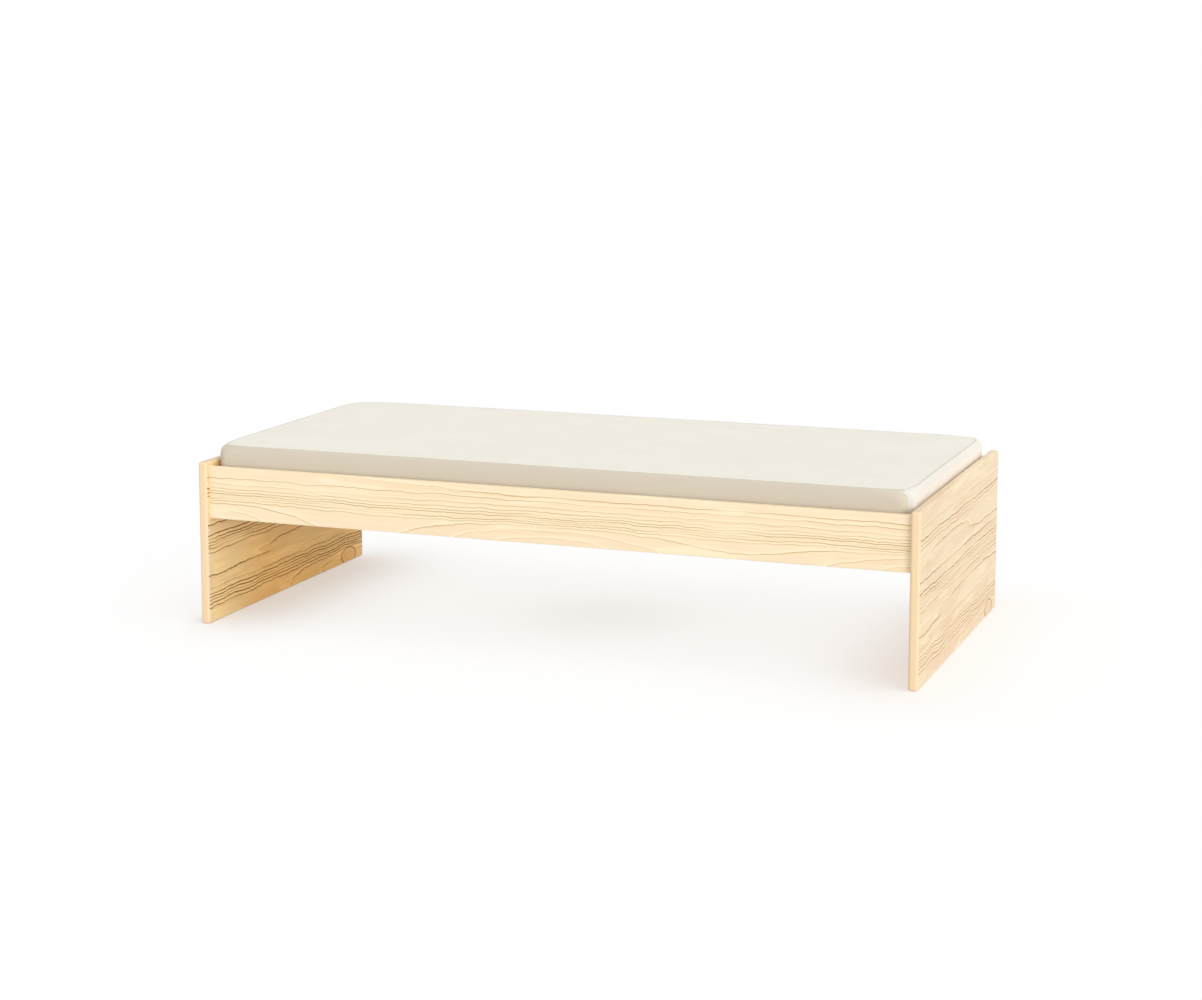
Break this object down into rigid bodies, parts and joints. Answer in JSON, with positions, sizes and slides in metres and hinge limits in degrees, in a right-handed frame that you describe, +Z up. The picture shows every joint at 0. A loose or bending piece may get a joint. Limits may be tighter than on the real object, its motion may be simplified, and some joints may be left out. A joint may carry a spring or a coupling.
{
  "type": "low single bed",
  "caption": "Low single bed in pale pine: two solid end boards standing on the floor, two side rails, a slatted base and a loose foam mattress.",
  "frame": {"origin": "on the floor under the middle of the bed", "axes": "+X along the length of the bed, +Y to the back rail, +Z up"},
  "size_m": [2.064, 0.98, 0.51],
  "materials": {
    "pine_board": "clear satin lacquer on pale pine, grain along the width of the board",
    "pine_rail": "clear satin lacquer on pale pine, grain along the rail",
    "pine_slat": "planed bare pine",
    "beech_dowel": "fluted bare beech",
    "screw_steel": "yellow zinc plate",
    "staple_steel": "galvanised wire",
    "fitting_steel": "bright zinc plate",
    "fitting_zinc": "die-cast zinc, as cast",
    "cap_plastic": "moulded, matt, wood tone",
    "webbing": "woven polyester tape",
    "foam": "open-cell polyurethane foam",
    "cover_fabric": "plain close-woven cotton, ivory",
    "base_cloth": "plain woven lining cloth"
  },
  "bodies": {
    "bedstead": {"end_board_left": "pine_board", "end_board_right": "pine_board", "side_rail_front": "pine_rail", "side_rail_back": "pine_rail", "slat_ledger_front": "pine_slat", "slat_ledger_back": "pine_slat", "slat_01": "pine_slat", "slat_02": "pine_slat", "slat_03": "pine_slat", "slat_04": "pine_slat", "slat_05": "pine_slat", "slat_06": "pine_slat", "slat_07": "pine_slat", "slat_08": "pine_slat", "slat_09": "pine_slat", "slat_10": "pine_slat", "slat_11": "pine_slat", "slat_12": "pine_slat", "slat_13": "pine_slat", "slat_14": "pine_slat", "slat_strap_front": "webbing", "slat_strap_back": "webbing", "strap_staples": "staple_steel", "ledger_screws_front": "screw_steel", "ledger_screws_back": "screw_steel", "end_slat_screws": "screw_steel", "cam_bolts": "fitting_steel", "cams": "fitting_zinc", "cam_caps": "cap_plastic", "rail_dowels": "beech_dowel"},
    "mattress": {"mattress_core": "foam", "mattress_cover": "cover_fabric", "mattress_base_cloth": "base_cloth"}
  },
  "joints": [
    {"name": "mattress_lift", "type": "slide", "parent": "bedstead", "child": "mattress", "axis": [0, 0, 1], "range_m": [0, 0.15]}
  ]
}
